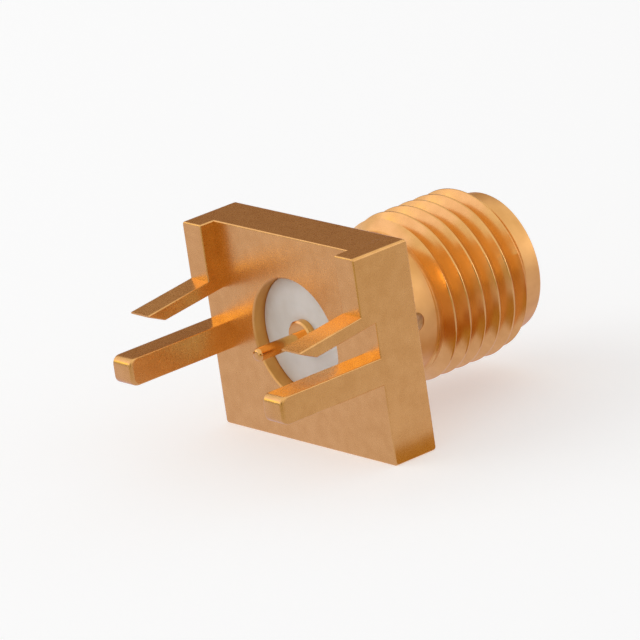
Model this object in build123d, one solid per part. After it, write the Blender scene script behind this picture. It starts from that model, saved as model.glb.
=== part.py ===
from build123d import *
import math
import os

# Edge mount coaxial jack, in millimetres. X runs across the flange, Y along the coax axis with
# the board behind the flange on the +Y side and the mating end towards -Y, and Z is up.
# The origin lies on the coax axis, in the flat rear face that the board's edge stops against.

# Flange with its two side rails
flange_width = 9.52
flange_thickness = 1.88
axis_to_top = 3.96
axis_to_bottom = 3.96
corner_radius = 0.18
front_edge_radius = 0.08
rail_width = 1.04
rail_depth = 0.62
prong_root_radius = 0.23

# Upper prongs, short and sloping down towards the board, with a lead-in bevel from below
upper_prong_reach = 3.50
upper_prong_top = 1.81
upper_prong_thickness = 0.48
upper_prong_slope = 7.5
upper_prong_bevel = 0.72
upper_prong_tip = 0.06

# Lower prongs, longer and taller
lower_prong_reach = 4.67
lower_prong_top = 0.10
lower_prong_height = 1.01
lower_prong_end_radius = 0.28

# Barrel, all lengths along Y measured from the board stop face
front_reach = 9.52
neck_diameter = 5.40
thread_major_diameter = 6.30
thread_length = 3.91
nose_diameter = 5.29
nose_length = 0.71
nose_edge_radius = 0.12

# Bores
rear_bore_diameter = 4.60
rear_bore_depth = 1.60
main_bore_diameter = 4.12
mating_bore_diameter = 4.60
mating_bore_depth = 1.93
mating_bore_chamfer = 0.08

# Insulator and centre contact
insulator_recess = 0.51
insulator_rim_chamfer = 0.08
contact_diameter = 1.27
contact_shoulder_recess = 0.20
contact_shoulder_chamfer = 0.06
contact_front_recess = 0.05
pin_diameter = 0.50
pin_reach = 1.83
pin_tip_chamfer = 0.12
socket_bore_diameter = 0.93
socket_bore_depth = 2.60
socket_entry_chamfer = 0.08
socket_slot_width = 0.20
socket_slot_length = 2.10
socket_slot_angles = (45, 135)

# Resin lock that holds the insulator and the contact
lock_hole_diameter = 0.70
lock_hole_from_stop = 3.46
lock_groove_depth = 0.15
lock_resin_recess = 0.22

# Derived sizes
half_width = flange_width / 2
neck_radius = neck_diameter / 2
thread_radius = thread_major_diameter / 2
nose_radius = nose_diameter / 2
contact_radius = contact_diameter / 2
pin_radius = pin_diameter / 2
socket_radius = socket_bore_diameter / 2
reference_plane = front_reach - mating_bore_depth
thread_front = front_reach - nose_length - (thread_radius - nose_radius)
thread_back = thread_front - thread_length
full_thread_start = thread_back + (thread_radius - neck_radius)
groove_radius = contact_radius - lock_groove_depth
resin_end = neck_radius - lock_resin_recess
slope = math.tan(math.radians(upper_prong_slope))


def turned(points):
    """Solid of revolution about the coax axis from (radius, distance in front of the stop) points."""
    outline = Polyline(*[(radius, -distance) for radius, distance in points], close=True)
    return revolve(make_face(outline), Axis.Y)


def rounded(points, corners):
    """Face in the YZ plane from (distance behind the stop, height) points, with some corners rounded."""
    face = Plane.YZ * make_face(Polyline(*points, close=True))
    for corner, radius in corners:
        nearest = min(face.vertices(), key=lambda vertex: math.dist((vertex.Y, vertex.Z), corner))
        face = fillet(nearest, radius)
    return face


def side_plate():
    """One side of the flange seen from the side: rail, short sloping upper prong, long lower prong."""
    root_top = upper_prong_top + slope * rail_depth
    root_bottom = root_top - upper_prong_thickness / math.cos(math.radians(upper_prong_slope))
    bevel_start = upper_prong_reach - upper_prong_bevel
    tip_top = root_top - slope * upper_prong_reach
    lower_bottom = lower_prong_top - lower_prong_height
    rail_foot = (rail_depth, upper_prong_top)
    upper_root = (0, root_bottom)
    lower_root_top = (0, lower_prong_top)
    lower_root_bottom = (0, lower_bottom)
    lower_end_top = (lower_prong_reach, lower_prong_top)
    lower_end_bottom = (lower_prong_reach, lower_bottom)
    outline = [
        (-flange_thickness, axis_to_top),
        (rail_depth, axis_to_top),
        rail_foot,
        (upper_prong_reach, tip_top),
        (upper_prong_reach, tip_top - upper_prong_tip),
        (bevel_start, root_bottom - slope * bevel_start),
        upper_root,
        lower_root_top,
        lower_end_top,
        lower_end_bottom,
        lower_root_bottom,
        (0, -axis_to_bottom),
        (-flange_thickness, -axis_to_bottom),
    ]
    roots = [rail_foot, upper_root, lower_root_top, lower_root_bottom]
    ends = [lower_end_top, lower_end_bottom]
    corners = [(corner, prong_root_radius) for corner in roots]
    corners += [(corner, lower_prong_end_radius) for corner in ends]
    return extrude(rounded(outline, corners), rail_width)


def flange():
    """Flange plate with the rails and the four prongs growing out of its rear face."""
    height = axis_to_top + axis_to_bottom
    middle = (axis_to_top - axis_to_bottom) / 2
    between = flange_width - rail_width
    plate = Pos(0, -flange_thickness / 2, middle) * Box(between, flange_thickness, height)
    left = Pos(half_width - rail_width, 0, 0) * side_plate()
    whole = plate + left + mirror(left, Plane.YZ)
    along = [
        edge
        for edge in whole.edges().filter_by(Axis.Y)
        if abs(edge.center().Z - middle) > height / 2 - corner_radius
        and abs(edge.center().X) > half_width - corner_radius
    ]
    whole = fillet(along, corner_radius)
    front = whole.faces().sort_by(Axis.Y)[0]
    return fillet(front.edges(), front_edge_radius)


def barrel():
    """Turned barrel: plain neck, thread at its major diameter with both ends chamfered, pilot nose."""
    chamfer_end = thread_front + thread_radius - nose_radius
    inside = flange_thickness / 2
    solid = turned([
        (0, inside),
        (neck_radius, inside),
        (neck_radius, thread_back),
        (thread_radius, full_thread_start),
        (thread_radius, thread_front),
        (nose_radius, chamfer_end),
        (nose_radius, front_reach),
        (0, front_reach),
    ])
    rim = solid.faces().sort_by(Axis.Y)[0].edges()
    return fillet(rim, nose_edge_radius)


def bores():
    """Stepped hole through the body, open at both ends."""
    rear, main = rear_bore_diameter / 2, main_bore_diameter / 2
    mating = mating_bore_diameter / 2
    return turned([
        (0, 0),
        (rear, 0),
        (rear, rear_bore_depth),
        (main, rear_bore_depth),
        (main, reference_plane),
        (mating, reference_plane),
        (mating, front_reach - mating_bore_chamfer),
        (mating + mating_bore_chamfer, front_reach),
        (0, front_reach),
    ])


def lock_rod(inner, outer):
    """Round rod along the lock hole, towards -X between two distances from the coax axis."""
    rod = Rot(0, 90, 0) * Cylinder(lock_hole_diameter / 2, outer - inner)
    return Pos(-(inner + outer) / 2, -lock_hole_from_stop, 0) * rod


def lock_ring(outer):
    """Ring in the contact's groove, as wide as the lock hole."""
    start = lock_hole_from_stop - lock_hole_diameter / 2
    end = lock_hole_from_stop + lock_hole_diameter / 2
    return turned([(groove_radius, start), (outer, start), (outer, end), (groove_radius, end)])


def jack_body():
    """One machined piece: flange, rails, prongs and barrel, with its bores and the lock hole."""
    return flange() + barrel() - bores() - lock_rod(0, neck_radius * 2)


def insulator():
    """Stepped sleeve pressed in from the rear against the body's inner shoulder."""
    sleeve = turned([
        (contact_radius, insulator_recess),
        (rear_bore_diameter / 2 - insulator_rim_chamfer, insulator_recess),
        (rear_bore_diameter / 2, insulator_recess + insulator_rim_chamfer),
        (rear_bore_diameter / 2, rear_bore_depth),
        (main_bore_diameter / 2, rear_bore_depth),
        (main_bore_diameter / 2, reference_plane),
        (contact_radius, reference_plane),
    ])
    return sleeve - lock_rod(0, neck_radius)


def centre_contact():
    """Turned contact: solder pin behind, plain shank, lock groove, and a slotted socket in front."""
    front = reference_plane - contact_front_recess
    socket_end = front - socket_bore_depth
    solid = turned([
        (0, -pin_reach),
        (pin_radius - pin_tip_chamfer, -pin_reach),
        (pin_radius, pin_tip_chamfer - pin_reach),
        (pin_radius, contact_shoulder_recess),
        (contact_radius - contact_shoulder_chamfer, contact_shoulder_recess),
        (contact_radius, contact_shoulder_recess + contact_shoulder_chamfer),
        (contact_radius, front),
        (socket_radius + socket_entry_chamfer, front),
        (socket_radius, front - socket_entry_chamfer),
        (socket_radius, socket_end),
        (0, socket_end),
    ])
    slot_middle = front - socket_slot_length / 2
    slot = Box(contact_diameter * 2, socket_slot_length, socket_slot_width)
    slots = [Pos(0, -slot_middle, 0) * Rot(0, turn, 0) * slot for turn in socket_slot_angles]
    return solid - slots - lock_ring(contact_diameter)


def resin_lock():
    """Cured resin that fills the cross hole and the contact's groove."""
    return lock_ring(contact_radius) + (lock_rod(0, resin_end) - turned([
        (0, 0),
        (contact_radius, 0),
        (contact_radius, front_reach),
        (0, front_reach),
    ]))


os.makedirs("parts", exist_ok=True)
export_step(jack_body(), "parts/jack_body.step")
export_step(insulator(), "parts/insulator.step")
export_step(centre_contact(), "parts/centre_contact.step")
export_step(resin_lock(), "parts/resin_lock.step")
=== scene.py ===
import math

import bmesh
import bpy
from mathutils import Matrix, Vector


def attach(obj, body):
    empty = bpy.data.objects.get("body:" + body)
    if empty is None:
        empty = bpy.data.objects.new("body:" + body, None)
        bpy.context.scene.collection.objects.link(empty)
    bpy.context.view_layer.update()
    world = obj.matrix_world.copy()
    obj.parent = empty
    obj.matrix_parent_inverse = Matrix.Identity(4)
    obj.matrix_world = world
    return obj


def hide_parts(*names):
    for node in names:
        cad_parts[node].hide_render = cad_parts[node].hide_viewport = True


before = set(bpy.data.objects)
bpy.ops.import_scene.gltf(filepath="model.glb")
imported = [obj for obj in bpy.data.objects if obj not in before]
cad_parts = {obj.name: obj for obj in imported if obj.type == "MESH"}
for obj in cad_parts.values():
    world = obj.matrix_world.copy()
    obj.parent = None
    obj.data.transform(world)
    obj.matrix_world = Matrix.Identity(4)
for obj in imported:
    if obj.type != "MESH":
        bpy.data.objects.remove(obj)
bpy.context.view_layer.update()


# Jack body: flange, four prongs and threaded barrel, milled and turned from one bar of brass and
# then gold plated all over. It is drawn here in millimetres as the cutters leave it, joined into
# one shape, and brought to metres when it is whole.

# How exact the work is: what counts as one place or one corner, how far a cutter runs past the
# part, the small overlap that two joined shapes need, and the facets of each kind of rounding.
MILLIMETRE = 0.001
SAME_PLACE = 0.001
SAME_CORNER = 0.0001
STRAIGHT = math.radians(1)
SMOOTH = math.radians(32)
PAST = 0.2
SLIVER = 0.01
EDGE_STEPS = 3
HEEL_STEPS = 5
END_STEPS = 8
SIDE_STEPS = 8
RIM_STEPS = 4
TURNED_SIDES = 192
ROD_SIDES = 64

FLANGE_WIDTH = 9.52
FLANGE_DEPTH = 1.88
FLANGE_TOP = 3.96
FLANGE_BOTTOM = -3.96
FRONT_EDGE = 0.09
REAR_EDGE = 0.06
SIDE_EDGE = 0.045
CORNER_RADIUS = 0.10
RAIL_WIDTH = 1.04
RAIL_DEPTH = 0.62
UPPER_REACH = 3.50
UPPER_TOP = 1.81
UPPER_THICKNESS = 0.48
UPPER_SLOPE = math.radians(7.5)
UPPER_BEVEL = 0.72
UPPER_TIP = 0.06
UPPER_TIP_LENGTH = 0.35
UPPER_HEEL = 0.12
LOWER_REACH = 4.67
LOWER_TOP = 0.10
LOWER_BOTTOM = -0.91
LOWER_END = 0.28
END_ROUND = 0.17

# Thread of 36 turns an inch. Its ridge is swept with its foot sunk into the barrel, starts some
# turns ahead of the first full crest, and is trimmed at both ends afterwards.
PITCH = 25.4 / 36
FLANK_ANGLE = math.radians(30)
THREAD_RADIUS = 3.15
THREAD_DEPTH = 0.50
THREAD_PHASE = 0.23
THREAD_START = 4.395
THREAD_TURNS = 9
TURNS_AHEAD = 14
TURN_STEPS = 224
CREST_HALF = 0.030
CREST_ROUND = 0.028
ROOT_GAP = 0.018
ROOT_RISE = 0.008
ROOT_BLEND = 0.030
RIDGE_SUNK = 0.040
NECK_RADIUS = 2.70
NOSE_RADIUS = 2.645
NOSE_LENGTH = 0.71
NOSE_EDGE = 0.12
MATING_FACE = 9.52

REAR_BORE = 2.30
REAR_BORE_END = 1.60
REAR_BORE_BREAK = 0.05
MAIN_BORE = 2.06
REFERENCE_PLANE = 7.59
MATING_BORE = 2.30
MATING_CHAMFER = 0.08
LOCK_RADIUS = 0.35
LOCK_PLACE = 3.46


def hold(thing):
    """Selects one object alone and makes it the one in hand."""
    if bpy.context.mode != "OBJECT":
        bpy.ops.object.mode_set(mode="OBJECT")
    bpy.ops.object.select_all(action="DESELECT")
    thing.select_set(True)
    bpy.context.view_layer.objects.active = thing


def anywhere(middle):
    """Test for take that everything passes."""
    return True


def take(kind, test=anywhere):
    """Selects the corners, edges or faces in edit mode whose middle passes a test."""
    mode = {"verts": "VERT", "edges": "EDGE", "faces": "FACE"}[kind]
    bpy.ops.mesh.select_mode(type=mode)
    bpy.ops.mesh.select_all(action="DESELECT")
    shape = bmesh.from_edit_mesh(bpy.context.object.data)
    for item in getattr(shape, kind):
        corners = [item] if kind == "verts" else item.verts
        middle = sum((corner.co for corner in corners), Vector()) / len(corners)
        if test(middle):
            item.select_set(True)
    shape.select_flush_mode()
    bmesh.update_edit_mesh(bpy.context.object.data)


def near(*place):
    """Test for take: the middle is at a place; None leaves an axis free."""
    return lambda middle: all(
        wanted is None or abs(found - wanted) < SAME_PLACE for found, wanted in zip(middle, place)
    )


def tidy_shell():
    """Merges doubled corners and turns the faces of a closed shell outwards."""
    take("verts")
    bpy.ops.mesh.remove_doubles(threshold=SAME_CORNER)
    bpy.ops.mesh.normals_make_consistent(inside=False)


def merge_corners(thing):
    """Merges the doubled corners of a whole object."""
    hold(thing)
    bpy.ops.object.mode_set(mode="EDIT")
    take("verts")
    bpy.ops.mesh.remove_doubles(threshold=SAME_CORNER)
    bpy.ops.object.mode_set(mode="OBJECT")


def sheet(across, low, high):
    """Upright sheet in the YZ plane at X = across, from (y, z) to (y, z), left in edit mode."""
    bpy.ops.object.select_all(action="DESELECT")
    bpy.ops.mesh.primitive_plane_add(size=1, rotation=(0, math.pi / 2, 0))
    bpy.ops.object.transform_apply(location=True, rotation=True, scale=True)
    bpy.ops.object.mode_set(mode="EDIT")
    take("faces")
    bpy.ops.transform.resize(value=(1, high[0] - low[0], high[1] - low[1]))
    place = (across, (low[0] + high[0]) / 2, (low[1] + high[1]) / 2)
    bpy.ops.transform.translate(value=place)
    return bpy.context.object


def cut_across(height):
    """Parts the selected faces at a height."""
    bpy.ops.mesh.bisect(plane_co=(0, 0, height), plane_no=(0, 0, 1))


def draw_out(kind, where, by):
    """Extrudes what lies at a place."""
    take(kind, where)
    bpy.ops.mesh.extrude_region_move(TRANSFORM_OT_translate={"value": by})


def round_corner(across, y, z, radius, steps=EDGE_STEPS, angle=math.pi / 2):
    """Rounds one corner of the outline, whose inner angle is given."""
    take("verts", near(across, y, z))
    offset = radius / math.tan(angle / 2)
    bpy.ops.mesh.bevel(offset=offset, segments=steps, affect="VERTICES")


def merge_tip():
    """Brings the two corners of a prong's thin tip together where the rounding has met itself."""
    mesh = bmesh.from_edit_mesh(bpy.context.object.data)
    rim = [face for face in mesh.faces if face.select][0].verts
    start = UPPER_REACH - UPPER_TIP_LENGTH
    tip = [corner for corner in rim if corner.co.y > start and corner.co.z > UPPER_TOP / 2]
    if len(tip) == 2 and abs(tip[0].co.z - tip[1].co.z) < UPPER_TIP / 2:
        middle = (tip[0].co + tip[1].co) / 2
        bmesh.ops.pointmerge(mesh, verts=tip, merge_co=middle)
        bmesh.update_edit_mesh(bpy.context.object.data)


def fallen(inside, radius):
    """How far a rounded edge has come down at a distance inside its radius."""
    return radius - math.sqrt(radius**2 - min(max(inside, 0), radius) ** 2)


def round_side(end, way):
    """Draws a side face out to X = end, way 1 outside or -1 inside, and rounds its rim.

    The flange's corners outside and the lower prong's end on both sides are rounded more.
    """
    inside, rim, corner = CORNER_RADIUS, 0, 0
    reach = FRONT_EDGE + CORNER_RADIUS + 2 * SLIVER
    end_start = LOWER_REACH - LOWER_END - END_ROUND
    for step in range(1, SIDE_STEPS + 1):
        inside_after = CORNER_RADIUS * (1 - math.sin(math.pi / 2 * step / SIDE_STEPS))
        rim_after = fallen(SIDE_EDGE - inside_after, SIDE_EDGE)
        corner_after = fallen(CORNER_RADIUS - inside_after, CORNER_RADIUS)
        further = end - way * inside_after
        take("faces", near(end - way * inside, None, None))
        bpy.ops.mesh.inset(thickness=rim_after - rim, depth=inside - inside_after)
        merge_tip()
        more = corner_after - corner - (rim_after - rim)
        on_rim = near(further, None, None)
        if way > 0:
            for height, down in ((FLANGE_TOP, -1), (FLANGE_BOTTOM, 1)):
                take("verts", lambda at: on_rim(at) and abs(at.z - height) < reach)
                bpy.ops.transform.translate(value=(0, 0, down * more))
        back = (corner_after - corner) * END_ROUND / CORNER_RADIUS - (rim_after - rim)
        take("verts", lambda at: on_rim(at) and at.y > end_start)
        bpy.ops.transform.translate(value=(0, -back, 0))
        inside, rim, corner = inside_after, rim_after, corner_after


def modify(thing, kind, **settings):
    """Adds one modifier with its settings and applies it."""
    hold(thing)
    bpy.ops.object.modifier_add(type=kind)
    modifier = thing.modifiers[-1]
    for name, value in settings.items():
        setattr(modifier, name, value)
    bpy.ops.object.modifier_apply(modifier=modifier.name)


def combine(thing, how, other):
    """Adds another shape to one, cuts it away or keeps what both share; the other is used up."""
    modify(thing, "BOOLEAN", operation=how, object=other, solver="EXACT")
    bpy.data.objects.remove(other, do_unlink=True)
    merge_corners(thing)


def side_plate():
    """Side of the flange with its rail and both prongs: an outline that is drawn out in X."""
    outer_face = FLANGE_WIDTH / 2
    inner_face = outer_face - RAIL_WIDTH
    inner = inner_face + CORNER_RADIUS
    slope = math.tan(UPPER_SLOPE)
    root_top = UPPER_TOP + slope * RAIL_DEPTH
    root_bottom = root_top - UPPER_THICKNESS / math.cos(UPPER_SLOPE)
    heel = UPPER_REACH - UPPER_BEVEL
    plate = sheet(inner, (-FLANGE_DEPTH, FLANGE_BOTTOM), (0, FLANGE_TOP))
    for height in (root_bottom, LOWER_TOP, LOWER_BOTTOM):
        take("faces")
        cut_across(height)
    rail_middle = (root_bottom + FLANGE_TOP) / 2
    draw_out("edges", near(inner, 0, rail_middle), (0, RAIL_DEPTH, 0))
    take("faces", lambda middle: middle.y > 0)
    cut_across(UPPER_TOP)
    take("verts", near(inner, RAIL_DEPTH, root_bottom))
    bpy.ops.transform.translate(value=(0, 0, -slope * RAIL_DEPTH))
    root_middle = (UPPER_TOP + root_bottom - slope * RAIL_DEPTH) / 2
    reach = heel - RAIL_DEPTH
    draw_out("edges", near(inner, RAIL_DEPTH, root_middle), (0, reach, -slope * reach))
    heel_middle = root_middle - slope * reach
    draw_out("edges", near(inner, heel, heel_middle), (0, UPPER_BEVEL, -slope * UPPER_BEVEL))
    tip_top = root_top - slope * UPPER_REACH
    tip_bottom = root_bottom - slope * UPPER_REACH
    take("verts", near(inner, UPPER_REACH, tip_bottom))
    bpy.ops.transform.translate(value=(0, 0, tip_top - UPPER_TIP - tip_bottom))
    lower_middle = (LOWER_TOP + LOWER_BOTTOM) / 2
    draw_out("edges", near(inner, 0, lower_middle), (0, LOWER_REACH, 0))
    take("faces")
    bpy.ops.mesh.remove_doubles(threshold=SAME_CORNER)
    take("faces")
    bpy.ops.mesh.dissolve_faces()
    take("verts")
    bpy.ops.mesh.dissolve_limited(angle_limit=STRAIGHT)
    for y, z in ((-FLANGE_DEPTH, FLANGE_TOP), (-FLANGE_DEPTH, FLANGE_BOTTOM)):
        round_corner(inner, y, z, FRONT_EDGE)
    for y, z in ((RAIL_DEPTH, FLANGE_TOP), (0, FLANGE_BOTTOM)):
        round_corner(inner, y, z, REAR_EDGE)
    heel_height = root_bottom - slope * heel
    rise = math.atan2(tip_top - UPPER_TIP - heel_height, UPPER_BEVEL)
    heel_angle = math.pi - UPPER_SLOPE - rise
    round_corner(inner, heel, heel_height, UPPER_HEEL, HEEL_STEPS, heel_angle)
    for z in (LOWER_TOP, LOWER_BOTTOM):
        round_corner(inner, LOWER_REACH, z, LOWER_END, END_STEPS)
    draw_out("faces", anywhere, (outer_face - CORNER_RADIUS - inner, 0, 0))
    tidy_shell()
    round_side(inner_face, -1)
    round_side(outer_face, 1)
    bpy.ops.object.mode_set(mode="OBJECT")
    modify(plate, "MIRROR", use_mirror_merge=False)
    return plate


def turned(outline, around=TURNED_SIDES):
    """Closed shape turned about the coax axis: a ring drawn out from (radius, y) to the next."""
    bpy.ops.object.select_all(action="DESELECT")
    first = outline[0]
    bpy.ops.mesh.primitive_circle_add(
        vertices=around, radius=first[0], location=(0, first[1], 0), rotation=(math.pi / 2, 0, 0)
    )
    bpy.ops.object.transform_apply(location=True, rotation=True, scale=True)
    bpy.ops.object.mode_set(mode="EDIT")
    bpy.ops.mesh.select_mode(type="EDGE")
    bpy.ops.mesh.select_all(action="SELECT")
    for (radius, y), (after, further) in zip(outline, outline[1:]):
        bpy.ops.mesh.extrude_region_move(TRANSFORM_OT_translate={"value": (0, further - y, 0)})
        grow = after / radius
        bpy.ops.transform.resize(value=(grow, 1, grow), center_override=(0, further, 0))
    if outline[0] != outline[-1]:
        bpy.ops.mesh.select_all(action="SELECT")
        bpy.ops.mesh.fill_holes(sides=0)
    tidy_shell()
    bpy.ops.object.mode_set(mode="OBJECT")
    return bpy.context.object


def arc(radius, y, size, start, end, steps=RIM_STEPS):
    """Points of a rounded rim about the centre (radius, y), between two angles in degrees."""
    turns = [math.radians(start + (end - start) * step / steps) for step in range(steps + 1)]
    return [(radius + size * math.cos(turn), y + size * math.sin(turn)) for turn in turns]


def thread_ridge():
    """Helical ridge of the thread, swept from its section and trimmed by the end chamfers."""
    root = THREAD_RADIUS - THREAD_DEPTH
    foot_half = PITCH / 2 - ROOT_GAP
    blend_half = CREST_HALF + (THREAD_DEPTH - ROOT_BLEND) * math.tan(FLANK_ANGLE)
    levels = [
        (foot_half, root - SLIVER),
        (foot_half - ROOT_GAP, root + ROOT_RISE),
        (blend_half, root + ROOT_BLEND),
        (CREST_HALF, THREAD_RADIUS),
    ]
    first_crest = THREAD_PHASE - TURNS_AHEAD * PITCH
    low = (first_crest - foot_half, root - RIDGE_SUNK)
    high = (first_crest + foot_half, root - SLIVER)
    ridge = sheet(0, low, high)
    for (half, radius), (after_half, after) in zip(levels, levels[1:]):
        draw_out("edges", near(0, first_crest, radius), (0, 0, after - radius))
        grow = after_half / half
        bpy.ops.transform.resize(value=(1, grow, 1), center_override=(0, first_crest, after))
    take("verts", near(0, None, THREAD_RADIUS))
    bpy.ops.mesh.bevel(offset=CREST_ROUND, segments=EDGE_STEPS, affect="VERTICES")
    take("faces")
    bpy.ops.mesh.dissolve_faces()
    take("faces")
    bpy.ops.mesh.delete(type="ONLY_FACE")
    modify(
        ridge,
        "SCREW",
        axis="Y",
        angle=math.tau,
        screw_offset=PITCH,
        iterations=THREAD_TURNS,
        steps=TURN_STEPS,
        render_steps=TURN_STEPS,
        use_merge_vertices=False,
    )
    bpy.ops.object.mode_set(mode="EDIT")
    bpy.ops.mesh.select_all(action="SELECT")
    bpy.ops.mesh.fill_holes(sides=0)
    tidy_shell()
    bpy.ops.object.mode_set(mode="OBJECT")
    inside, above = NOSE_RADIUS - PAST / 4, THREAD_RADIUS + PAST
    front = MATING_FACE - NOSE_LENGTH
    back = THREAD_START - (NECK_RADIUS - inside)
    envelope = turned([
        (inside, -back),
        (above, -back - (above - inside)),
        (above, -front + (above - NOSE_RADIUS)),
        (inside, -front - (NOSE_RADIUS - inside)),
        (inside, -back),
    ])
    combine(ridge, "INTERSECT", envelope)
    return ridge


def cross_rod(inner, outer):
    """Rod as thick as the lock hole, on the -X side between two distances from the coax axis."""
    bpy.ops.object.select_all(action="DESELECT")
    bpy.ops.mesh.primitive_cylinder_add(
        vertices=ROD_SIDES,
        radius=LOCK_RADIUS,
        depth=outer - inner,
        location=(-(inner + outer) / 2, -LOCK_PLACE, 0),
        rotation=(0, math.pi / 2, 0),
    )
    bpy.ops.object.transform_apply(location=True, rotation=True, scale=True)
    return bpy.context.object


def body_stock():
    """Whole jack body: plates, barrel and thread joined, then bored and cross drilled."""
    middle_edge = (FLANGE_WIDTH - RAIL_WIDTH) / 2
    plate = sheet(-middle_edge, (-FLANGE_DEPTH, FLANGE_BOTTOM), (0, FLANGE_TOP))
    for y, z, radius in (
        (-FLANGE_DEPTH, FLANGE_TOP, FRONT_EDGE),
        (-FLANGE_DEPTH, FLANGE_BOTTOM, FRONT_EDGE),
        (0, FLANGE_TOP, REAR_EDGE),
        (0, FLANGE_BOTTOM, REAR_EDGE),
    ):
        round_corner(-middle_edge, y, z, radius)
    draw_out("faces", anywhere, (2 * middle_edge, 0, 0))
    tidy_shell()
    bpy.ops.object.mode_set(mode="OBJECT")
    combine(plate, "UNION", side_plate())
    root = THREAD_RADIUS - THREAD_DEPTH
    front = MATING_FACE - NOSE_LENGTH
    barrel = turned([
        (NECK_RADIUS, -FLANGE_DEPTH / 2),
        (NECK_RADIUS, SLIVER - THREAD_START),
        (root, SLIVER - THREAD_START - (NECK_RADIUS - root)),
        (root, -SLIVER - front + (root - NOSE_RADIUS)),
        (NOSE_RADIUS, -SLIVER - front),
        *arc(NOSE_RADIUS - NOSE_EDGE, NOSE_EDGE - MATING_FACE, NOSE_EDGE, 0, -90),
    ])
    combine(barrel, "UNION", thread_ridge())
    combine(plate, "UNION", barrel)
    bores = turned([
        (REAR_BORE + PAST, PAST - REAR_BORE_BREAK),
        (REAR_BORE, -REAR_BORE_BREAK),
        (REAR_BORE, -REAR_BORE_END),
        (MAIN_BORE, -REAR_BORE_END),
        (MAIN_BORE, -REFERENCE_PLANE),
        (MATING_BORE, -REFERENCE_PLANE),
        (MATING_BORE, MATING_CHAMFER - MATING_FACE),
        (MATING_BORE + MATING_CHAMFER + PAST, -MATING_FACE - PAST),
    ])
    combine(plate, "DIFFERENCE", bores)
    combine(plate, "DIFFERENCE", cross_rod(MAIN_BORE - PAST, NECK_RADIUS + PAST))
    return plate


def settle(thing, name):
    """Shades a finished shape, brings it from millimetres to metres and names it."""
    merge_corners(thing)
    thing.scale = (MILLIMETRE, MILLIMETRE, MILLIMETRE)
    bpy.ops.object.transform_apply(location=True, rotation=True, scale=True)
    bpy.ops.object.shade_smooth_by_angle(angle=SMOOTH)
    modify(thing, "WEIGHTED_NORMAL", keep_sharp=True)
    thing.name = thing.data.name = name


def colour(code):
    """sRGB hex as the linear colour that a shader takes."""
    parts = [int(code[place:place + 2], 16) / 255 for place in (1, 3, 5)]
    return (*[p / 12.92 if p <= 0.04045 else ((p + 0.055) / 1.055) ** 2.4 for p in parts], 1)


def add_node(tree, kind, links=(), inputs=(), **settings):
    """Adds one node: its own settings, then the values of its inputs, then links into them."""
    node = tree.nodes.new(kind)
    for name, value in settings.items():
        setattr(node, name, value)
    for name, value in dict(inputs).items():
        node.inputs[name].default_value = value
    for name, source in dict(links).items():
        tree.links.new(source, node.inputs[name])
    return node


def new_material(name):
    """Empty material with its output and one main shader; returns material, tree and shader."""
    material = bpy.data.materials.new(name)
    material.use_nodes = True
    tree = material.node_tree
    return material, tree, tree.nodes["Principled BSDF"]


def from_axis(tree):
    """Place on the object, its separate axes, and its distance from the coax axis."""
    place = add_node(tree, "ShaderNodeTexCoord").outputs["Object"]
    axes = add_node(tree, "ShaderNodeSeparateXYZ", {0: place}).outputs
    across = add_node(tree, "ShaderNodeCombineXYZ", {"X": axes["X"], "Z": axes["Z"]})
    radius = add_node(tree, "ShaderNodeVectorMath", {0: across.outputs[0]}, operation="LENGTH")
    return place, axes, radius.outputs["Value"]


def grains(tree, place, size, detail=2.0):
    """Soft random level from 0 to 1 with grains of a size in metres."""
    return add_node(
        tree, "ShaderNodeTexNoise", {"Vector": place}, {"Scale": 1 / size, "Detail": detail}
    ).outputs["Fac"]


def turned_rings(tree, axes, radius, spacing):
    """Rings about the coax axis that a turning tool leaves on walls and on end faces."""
    ring_place = add_node(tree, "ShaderNodeCombineXYZ", {"X": axes["Y"], "Y": radius})
    return grains(tree, ring_place.outputs[0], spacing)


def ranged(tree, value, low, high, at_low, at_high):
    """Value that goes from one level to another while its source goes from low to high."""
    return add_node(
        tree,
        "ShaderNodeMapRange",
        {"Value": value},
        {"From Min": low, "From Max": high, "To Min": at_low, "To Max": at_high},
    ).outputs["Result"]


def cloudy_colour(tree, shader, cloud, first, second):
    """Colours a shader with two tones that drift into each other in clouds."""
    share = ranged(tree, cloud, *CLOUD_RANGE, 0, 1)
    tones = {"A": colour(first), "B": colour(second)}
    tint = add_node(tree, "ShaderNodeMix", {"Factor": share}, tones, data_type="RGBA")
    tree.links.new(tint.outputs["Result"], shader.inputs["Base Color"])


def emboss(tree, shader, marks, depth):
    """Gives a shader's surface relief of a depth in metres."""
    bump = add_node(
        tree, "ShaderNodeBump", {"Height": marks}, {"Strength": 1.0, "Distance": depth}
    )
    tree.links.new(bump.outputs["Normal"], shader.inputs["Normal"])


# The body's finish, with lengths in metres, as the shader reads them
GOLD_LIGHT = "#F0BA6A"
GOLD_DEEP = "#E8B162"
CLOUD_SIZE = 0.0005
CLOUD_DETAIL = 4.0
CLOUD_RANGE = (0.35, 0.65)
GRAIN_SIZE = 0.00008
GRAIN_RANGE = (0.3, 0.7)
MARK_SIZE = 0.00006
MARK_STRETCH = 25
TURNED_RELIEF = 0.000001
MILLED_SHARE = 0.12
MILLED_ROUGH = 0.28
TURNED_ROUGH = 0.45
FLANK_ROUGH = 0.25
CREST_ROUGH = 0.17
ROUGH_SPREAD = 0.02
BORDER = 0.00003
FLANKS_FROM = (0.00272, 0.00276)
CRESTS_FROM = (0.00310, 0.00313)

body = body_stock()
settle(body, "jack_body_piece")

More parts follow.
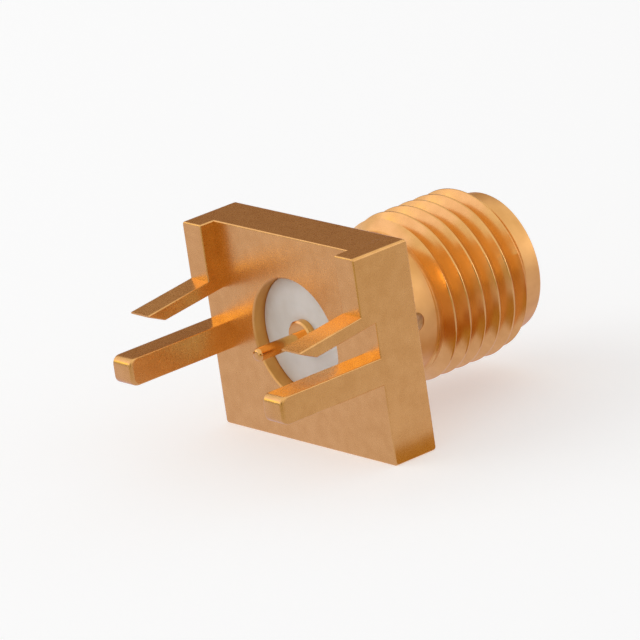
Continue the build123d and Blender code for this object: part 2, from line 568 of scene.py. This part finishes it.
# Gold plate over machined brass: satin metal that keeps the cutter's marks under the plating.
# Milled faces carry faint upright marks and turned ones rings, 0.02 mm apart on the real part and
# drawn at three times that to show. The thread's flanks and crests are the smoothest.
material, tree, shader = new_material("gold_plated_machined_brass")
place, axes, radius = from_axis(tree)
cloud = grains(tree, place, CLOUD_SIZE, CLOUD_DETAIL)
cloudy_colour(tree, shader, cloud, GOLD_LIGHT, GOLD_DEEP)
front_face = -FLANGE_DEPTH * MILLIMETRE
bore_edge = (REAR_BORE + REAR_BORE_BREAK) * MILLIMETRE
ahead = ranged(tree, axes["Y"], front_face + BORDER, front_face, 0, 1)
bored = ranged(tree, radius, bore_edge, bore_edge - BORDER, 0, 1)
turned_part = add_node(
    tree, "ShaderNodeMath", {0: ahead, 1: bored}, operation="MAXIMUM"
).outputs[0]
drawn_out = {"Scale": (1, 1, 1 / MARK_STRETCH)}
stretch = add_node(tree, "ShaderNodeMapping", {"Vector": place}, drawn_out)
milled_marks = ranged(tree, grains(tree, stretch.outputs[0], MARK_SIZE), 0, 1, 0, MILLED_SHARE)
rings = turned_rings(tree, axes, radius, MARK_SIZE)
marks = add_node(
    tree, "ShaderNodeMix", {"Factor": turned_part, "A": milled_marks, "B": rings}
).outputs["Result"]
emboss(tree, shader, marks, TURNED_RELIEF)
flanks = ranged(tree, radius, *FLANKS_FROM, TURNED_ROUGH, FLANK_ROUGH)
crests = ranged(tree, radius, *CRESTS_FROM, 0, 1)
thread = add_node(
    tree, "ShaderNodeMix", {"Factor": crests, "A": flanks}, {"B": CREST_ROUGH}
).outputs["Result"]
level = add_node(
    tree, "ShaderNodeMix", {"Factor": turned_part, "B": thread}, {"A": MILLED_ROUGH}
).outputs["Result"]
grain = grains(tree, place, GRAIN_SIZE)
spread = ranged(tree, grain, *GRAIN_RANGE, -ROUGH_SPREAD, ROUGH_SPREAD)
satin = add_node(tree, "ShaderNodeMath", {0: level, 1: spread}, operation="ADD")
tree.links.new(satin.outputs[0], shader.inputs["Roughness"])
shader.inputs["Metallic"].default_value = 1.0
body.data.materials.append(material)
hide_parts("jack_body")
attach(body, "root")


# Insulator: a stepped sleeve turned from white fluoropolymer rod and pressed in from behind
# against the body's inner shoulder. A cross hole lets the resin reach the contact.
FACE_RECESS = 0.51
RIM_ROUND = 0.08
CONTACT_RADIUS = 0.635
SLEEVE_LIGHT = "#E6E2DB"
SLEEVE_DEEP = "#DAD4CA"
SLEEVE_CLOUD = 0.0011
SLEEVE_DETAIL = 3.0
SLEEVE_RINGS = 0.00009
SLEEVE_RELIEF = 0.000001
SLEEVE_ROUGH = 0.5
SLEEVE_IOR = 1.35
SLEEVE_SCATTER = 0.3
SCATTER_COLOURS = (1.0, 0.9, 0.8)
SCATTER_LENGTH = 0.0002

sleeve = turned([
    (CONTACT_RADIUS, -FACE_RECESS),
    *arc(REAR_BORE - RIM_ROUND, -FACE_RECESS - RIM_ROUND, RIM_ROUND, 90, 0),
    (REAR_BORE, -REAR_BORE_END),
    (MAIN_BORE, -REAR_BORE_END),
    (MAIN_BORE, -REFERENCE_PLANE),
    (CONTACT_RADIUS, -REFERENCE_PLANE),
    (CONTACT_RADIUS, -FACE_RECESS),
])
combine(sleeve, "DIFFERENCE", cross_rod(0, MAIN_BORE + PAST))
settle(sleeve, "insulator_piece")

# Turned fluoropolymer: waxy white plastic that light enters a little, dull, with the tool's fine
# rings, drawn at 0.09 mm, some four times too coarse, to show.
material, tree, shader = new_material("turned_fluoropolymer")
place, axes, radius = from_axis(tree)
cloud = grains(tree, place, SLEEVE_CLOUD, SLEEVE_DETAIL)
cloudy_colour(tree, shader, cloud, SLEEVE_LIGHT, SLEEVE_DEEP)
emboss(tree, shader, turned_rings(tree, axes, radius, SLEEVE_RINGS), SLEEVE_RELIEF)
shader.inputs["Roughness"].default_value = SLEEVE_ROUGH
shader.inputs["IOR"].default_value = SLEEVE_IOR
shader.inputs["Subsurface Weight"].default_value = SLEEVE_SCATTER
shader.inputs["Subsurface Radius"].default_value = SCATTER_COLOURS
shader.inputs["Subsurface Scale"].default_value = SCATTER_LENGTH
sleeve.data.materials.append(material)
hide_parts("insulator")
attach(sleeve, "root")


# Centre contact: turned in one piece from beryllium copper and gold plated. Its rear end is a round
# solder pin, its front a bored socket that is sawn into four springs to grip the plug's pin.
PIN_RADIUS = 0.25
PIN_REACH = 1.83
PIN_ROUND = 0.15
PIN_STEPS = 6
CONTACT_SIDES = 96
SHOULDER_RECESS = 0.20
SHOULDER_BREAK = 0.06
GROOVE_DEPTH = 0.15
SOCKET_RADIUS = 0.465
SOCKET_RECESS = 0.05
SOCKET_DEPTH = 2.60
SOCKET_ENTRY = 0.08
SLOT_WIDTH = 0.20
SLOT_LENGTH = 2.10
SLOT_TURNS = (math.radians(45), math.radians(135))
SAW_REACH = 4 * CONTACT_RADIUS
CONTACT_ROUGH = 0.18
CONTACT_RELIEF = 0.000001

groove_radius = CONTACT_RADIUS - GROOVE_DEPTH
socket_front = REFERENCE_PLANE - SOCKET_RECESS
contact = turned([
    *arc(PIN_RADIUS - PIN_ROUND, PIN_REACH - PIN_ROUND, PIN_ROUND, 90, 0, PIN_STEPS),
    (PIN_RADIUS, -SHOULDER_RECESS),
    (CONTACT_RADIUS - SHOULDER_BREAK, -SHOULDER_RECESS),
    (CONTACT_RADIUS, -SHOULDER_RECESS - SHOULDER_BREAK),
    (CONTACT_RADIUS, LOCK_RADIUS - LOCK_PLACE),
    (groove_radius, LOCK_RADIUS - LOCK_PLACE),
    (groove_radius, -LOCK_RADIUS - LOCK_PLACE),
    (CONTACT_RADIUS, -LOCK_RADIUS - LOCK_PLACE),
    (CONTACT_RADIUS, -socket_front),
    (SOCKET_RADIUS + SOCKET_ENTRY, -socket_front),
    (SOCKET_RADIUS, SOCKET_ENTRY - socket_front),
    (SOCKET_RADIUS, SOCKET_DEPTH - socket_front),
], around=CONTACT_SIDES)
slot_middle = socket_front - (SLOT_LENGTH - PAST) / 2
for turn in SLOT_TURNS:
    bpy.ops.object.select_all(action="DESELECT")
    bpy.ops.mesh.primitive_cube_add(
        size=1,
        location=(0, -slot_middle, 0),
        rotation=(0, turn, 0),
        scale=(SAW_REACH, SLOT_LENGTH + PAST, SLOT_WIDTH),
    )
    saw = bpy.context.object
    bpy.ops.object.transform_apply(location=True, rotation=True, scale=True)
    combine(contact, "DIFFERENCE", saw)
settle(contact, "centre_contact_piece")

# Gold plate over turned beryllium copper: a little smoother than the body, with the same rings.
material, tree, shader = new_material("gold_plated_turned_copper")
place, axes, radius = from_axis(tree)
cloud = grains(tree, place, CLOUD_SIZE, CLOUD_DETAIL)
cloudy_colour(tree, shader, cloud, GOLD_LIGHT, GOLD_DEEP)
emboss(tree, shader, turned_rings(tree, axes, radius, MARK_SIZE), CONTACT_RELIEF)
grain = grains(tree, place, GRAIN_SIZE)
smoothest, roughest = CONTACT_ROUGH - ROUGH_SPREAD, CONTACT_ROUGH + ROUGH_SPREAD
satin = ranged(tree, grain, *GRAIN_RANGE, smoothest, roughest)
tree.links.new(satin, shader.inputs["Roughness"])
shader.inputs["Metallic"].default_value = 1.0
contact.data.materials.append(material)
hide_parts("centre_contact")
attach(contact, "root")


# Resin lock: amber casting resin, poured into the neck's cross hole and round the contact's groove
# and cured there. It fills the hole almost to the neck's surface, with a slightly hollow face.
RESIN_END = 2.66
RESIN_RIM = 0.07
RESIN_DIP = 0.05
RESIN_MIDDLE_DIP = RESIN_DIP / 3
RESIN_LIGHT = "#DDAE70"
RESIN_DEEP = "#C08A4A"
RESIN_CLOUD = 0.00017
RESIN_DETAIL = 3.0
RESIN_RELIEF = 0.000003
RESIN_ROUGH = 0.2
RESIN_IOR = 1.55

ring_half = LOCK_RADIUS - SLIVER
resin = turned([
    (groove_radius, ring_half - LOCK_PLACE),
    (CONTACT_RADIUS, ring_half - LOCK_PLACE),
    (CONTACT_RADIUS, -ring_half - LOCK_PLACE),
    (groove_radius, -ring_half - LOCK_PLACE),
    (groove_radius, ring_half - LOCK_PLACE),
], around=CONTACT_SIDES)
plug = cross_rod(CONTACT_RADIUS - GROOVE_DEPTH / 2, RESIN_END)
bpy.ops.object.mode_set(mode="EDIT")
take("faces", near(-RESIN_END, None, None))
bpy.ops.mesh.inset(thickness=RESIN_RIM, depth=-RESIN_DIP)
bpy.ops.mesh.inset(thickness=RESIN_RIM, depth=-RESIN_MIDDLE_DIP)
bpy.ops.object.mode_set(mode="OBJECT")
combine(resin, "UNION", plug)
settle(resin, "resin_lock_piece")

# Cured amber resin: clear brown and glassy, with a faintly uneven surface.
material, tree, shader = new_material("cured_amber_resin")
place = add_node(tree, "ShaderNodeTexCoord").outputs["Object"]
cloud = grains(tree, place, RESIN_CLOUD, RESIN_DETAIL)
cloudy_colour(tree, shader, cloud, RESIN_LIGHT, RESIN_DEEP)
emboss(tree, shader, cloud, RESIN_RELIEF)
shader.inputs["Roughness"].default_value = RESIN_ROUGH
shader.inputs["IOR"].default_value = RESIN_IOR
resin.data.materials.append(material)
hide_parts("resin_lock")
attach(resin, "root")


# Studio: white paper floor under a white tent, and one large soft lamp on the board's side. Cards
# that only gloss sees stand in for the tent's walls and the table, with painted shade on the table,
# so that the metal has contrast.
FLOOR_SIZE = (2, 2)
FLOOR_HEIGHT = -0.003965
TABLE_HEIGHT = -0.00393
SHADE_HEIGHT = -0.00392
PAPER_TONE = (0.82, 0.82, 0.82, 1)
PAPER_ROUGH = 0.9
PAPER_LIFT = 0.36
TENT_LIGHT = 0.62
TENT_TONE = "#FFFFFF"
SKY_TONE = "#F4F0FF"
KEY_PLACE = (0.25, 0.26, 0.157)
KEY_SIZE = (0.40, 0.34)
KEY_TONE = 1.2
UP = (0, 0, 1)
TOWARDS_CAMERA = (-0.799, 0.601, 0)
CAMERA_SHADE_REACH = 0.025
LENS = 366.328
SENSOR_WIDTH = 36
CLIP_START = 0.01
CAMERA_PLACE = (-0.175264, 0.133880, 0.072214)
CAMERA_TURN = (71.8283, 8.0435, -130.2621)


def seen_directly(tree):
    """1 for rays from the camera, from gloss and through clear matter, 0 for rays that light."""
    rays = add_node(tree, "ShaderNodeLightPath").outputs
    seen = rays["Is Camera Ray"]
    for kind in ("Is Glossy Ray", "Is Transmission Ray"):
        seen = add_node(
            tree, "ShaderNodeMath", {0: seen, 1: rays[kind]}, operation="MAXIMUM"
        ).outputs[0]
    return seen


def plane(name, size, place, facing):
    """Flat rectangle of the stage at a place, facing along a direction."""
    bpy.ops.object.select_all(action="DESELECT")
    turn = Vector(facing).to_track_quat("Z", "Y").to_euler()
    bpy.ops.mesh.primitive_plane_add(size=1, location=place, rotation=turn)
    thing = bpy.context.object
    thing.scale = (*size, 1)
    thing.name = name
    return thing


floor = plane("floor", FLOOR_SIZE, (0, 0, FLOOR_HEIGHT), UP)
# White paper: dull, and lifted to white for the camera and for what mirrors it.
material, tree, shader = new_material("white_paper")
shader.inputs["Base Color"].default_value = PAPER_TONE
shader.inputs["Roughness"].default_value = PAPER_ROUGH
shader.inputs["Specular IOR Level"].default_value = 0
glow = add_node(
    tree, "ShaderNodeMath", {0: seen_directly(tree)}, {1: PAPER_LIFT}, operation="MULTIPLY"
).outputs[0]
shader.inputs["Emission Color"].default_value = colour(TENT_TONE)
tree.links.new(glow, shader.inputs["Emission Strength"])
floor.data.materials.append(material)


def card(name, size, place, tone, camera_shade_tone=None, strength=1, facing=None):
    """Card seen only by gloss, facing the part or as given; it may darken to the camera as painted
    shade.
    """
    thing = plane(name, size, place, facing or [-step for step in place])
    thing.visible_camera = False
    thing.visible_diffuse = False
    thing.visible_transmission = False
    thing.visible_shadow = False
    material = bpy.data.materials.new(name)
    material.use_nodes = True
    tree = material.node_tree
    tree.nodes.clear()
    settings = {"Color": colour(tone), "Strength": strength}
    light = add_node(tree, "ShaderNodeEmission", inputs=settings)
    # Painted shade: towards the camera the card turns to a darker, browner tone.
    if camera_shade_tone is not None:
        spot = add_node(tree, "ShaderNodeNewGeometry").outputs["Position"]
        along = add_node(
            tree, "ShaderNodeVectorMath", {0: spot}, {1: TOWARDS_CAMERA}, operation="DOT_PRODUCT"
        ).outputs["Value"]
        level = ranged(tree, along, 0, CAMERA_SHADE_REACH, 0, 1)
        tones = {"A": colour(tone), "B": colour(camera_shade_tone)}
        blend = add_node(tree, "ShaderNodeMix", {"Factor": level}, tones, data_type="RGBA")
        tree.links.new(blend.outputs["Result"], light.inputs["Color"])
    add_node(tree, "ShaderNodeOutputMaterial", {"Surface": light.outputs[0]})
    thing.data.materials.append(material)


# The table, with painted shade on the camera's side, and the shade that the part throws on it
# beside the barrel
card(
    "table_card",
    size=(0.30, 0.30),
    place=(0, 0, TABLE_HEIGHT),
    facing=UP,
    tone="#D5CEF5",
    camera_shade_tone="#B3A889",
)
card(
    "shade_card",
    size=(0.0036, 0.0065),
    place=(-0.0044, -0.00335, SHADE_HEIGHT),
    facing=UP,
    tone="#AC8846",
)
# The tent beside the barrel, and the small lamp there that draws the glints on the thread
card(
    "sky_card",
    size=(0.24, 0.20),
    place=(-0.27, -0.21, 0.085),
    tone="#DEDBFF",
    strength=1.4,
)
card(
    "spark_card",
    size=(0.08, 0.08),
    place=(-0.191, -0.345, 0.082),
    tone="#F4F0FF",
    strength=5,
)
# The key lamp's face, the wall below it, and the warm part that the prongs' roots mirror
card(
    "key_card",
    size=KEY_SIZE,
    place=KEY_PLACE,
    tone="#DED7FF",
    strength=1.55,
)
card(
    "wall_card",
    size=(0.50, 0.08),
    place=(0.23, 0.24, 0.036),
    facing=(-0.69, -0.72, 0),
    tone="#8E8E99",
)
card(
    "glow_card",
    size=(0.09, 0.08),
    place=(0.228, 0.171, 0.093),
    tone="#FFFCA8",
    strength=1.9,
)
# The dim sides: behind the part, for its top faces, and where the camera stands
card(
    "back_card",
    size=(0.22, 0.14),
    place=(0.19, -0.14, 0.08),
    tone="#8C6D54",
)
card(
    "camera_card",
    size=(0.34, 0.16),
    place=(-0.33, 0.25, 0.076),
    tone="#5A4630",
)

world = bpy.data.worlds.new("studio")
bpy.context.scene.world = world
world.use_nodes = True
tree = world.node_tree
tree.nodes.clear()
level = add_node(
    tree,
    "ShaderNodeMapRange",
    {"Value": seen_directly(tree)},
    {"To Min": TENT_LIGHT, "To Max": 1.0},
).outputs["Result"]
mirrored = add_node(tree, "ShaderNodeLightPath").outputs["Is Glossy Ray"]
tones = {"A": colour(TENT_TONE), "B": colour(SKY_TONE)}
sky = add_node(tree, "ShaderNodeMix", {"Factor": mirrored}, tones, data_type="RGBA")
light = add_node(
    tree, "ShaderNodeBackground", {"Color": sky.outputs["Result"], "Strength": level}
)
add_node(tree, "ShaderNodeOutputWorld", {"Surface": light.outputs[0]})


# Soft rectangular lamp that faces the part. Its tone is how bright it looks, 1 being white. The
# metal mirrors its card instead.
data = bpy.data.lights.new("key", "AREA")
data.shape = "RECTANGLE"
data.size, data.size_y = KEY_SIZE
data.energy = KEY_TONE * math.pi * data.size * data.size_y
lamp = bpy.data.objects.new("key", data)
lamp.location = KEY_PLACE
lamp.rotation_euler = (-Vector(KEY_PLACE)).to_track_quat("-Z", "Y").to_euler()
lamp.visible_glossy = False
bpy.context.collection.objects.link(lamp)

camera = bpy.data.cameras.new("camera")
camera.lens = LENS
camera.sensor_width = SENSOR_WIDTH
camera.clip_start = CLIP_START
view = bpy.data.objects.new("camera", camera)
view.location = CAMERA_PLACE
view.rotation_euler = [math.radians(angle) for angle in CAMERA_TURN]
bpy.context.collection.objects.link(view)
bpy.context.scene.camera = view
bpy.context.scene.view_settings.view_transform = "Standard"
